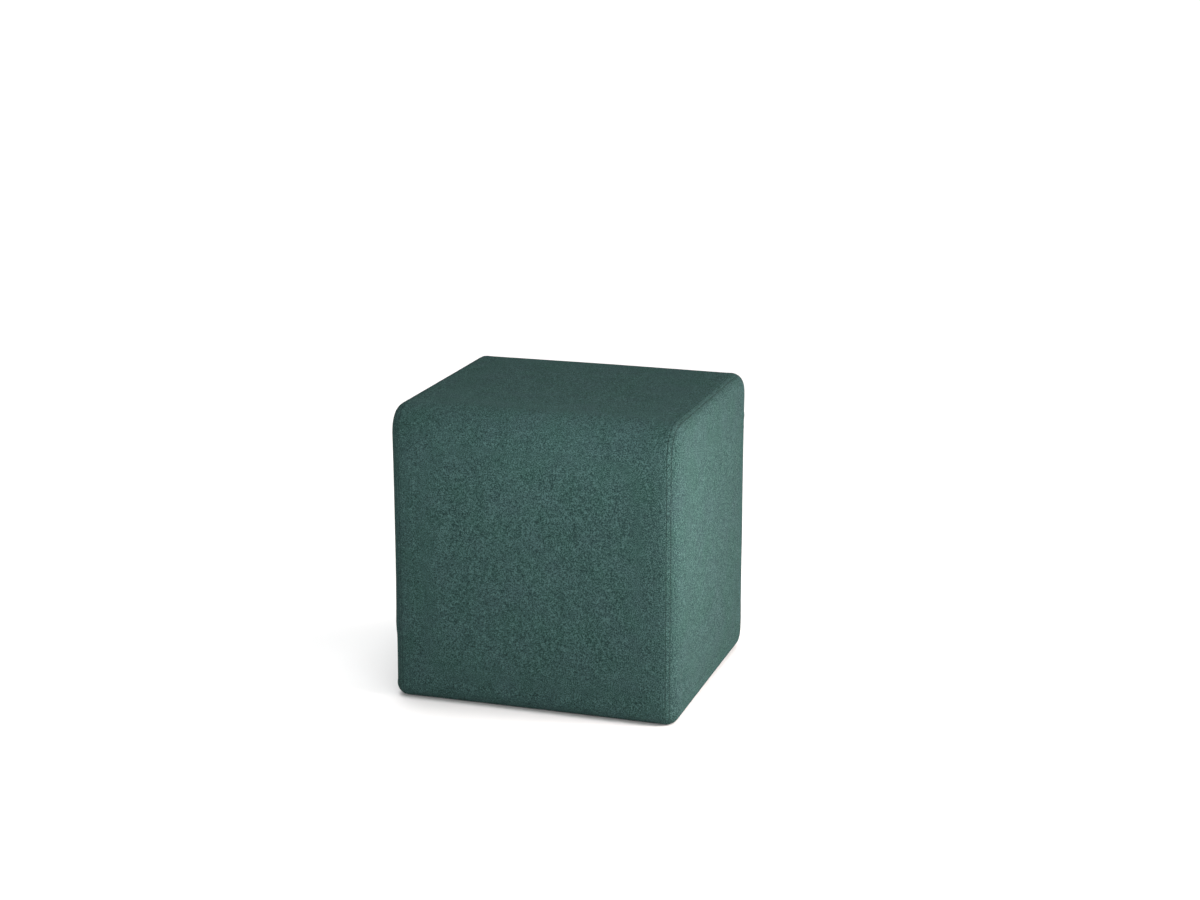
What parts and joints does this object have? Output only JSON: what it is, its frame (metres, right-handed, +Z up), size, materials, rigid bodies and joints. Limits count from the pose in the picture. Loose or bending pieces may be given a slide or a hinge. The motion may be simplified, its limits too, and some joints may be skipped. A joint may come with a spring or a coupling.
{
  "type": "cube pouf stool",
  "caption": "Firm cube-shaped foam pouf stool in a felt cover, with rounded edges, slightly swollen faces and lap-seamed side panels.",
  "frame": {"origin": "middle of the flat base, on the floor", "axes": "+Z up, -Y towards the front, +X along the width towards the right side panel"},
  "size_m": [0.4488, 0.413, 0.452],
  "materials": {
    "band_felt": "matt wool felt, dark green melange with fine lighter and darker fibres",
    "panel_felt": "the same matt dark green melange wool felt, with sewing thread to match"
  },
  "bodies": {
    "root": {"pouf_body": "band_felt", "side_panel_left": "panel_felt", "side_panel_right": "panel_felt"}
  },
  "joints": []
}
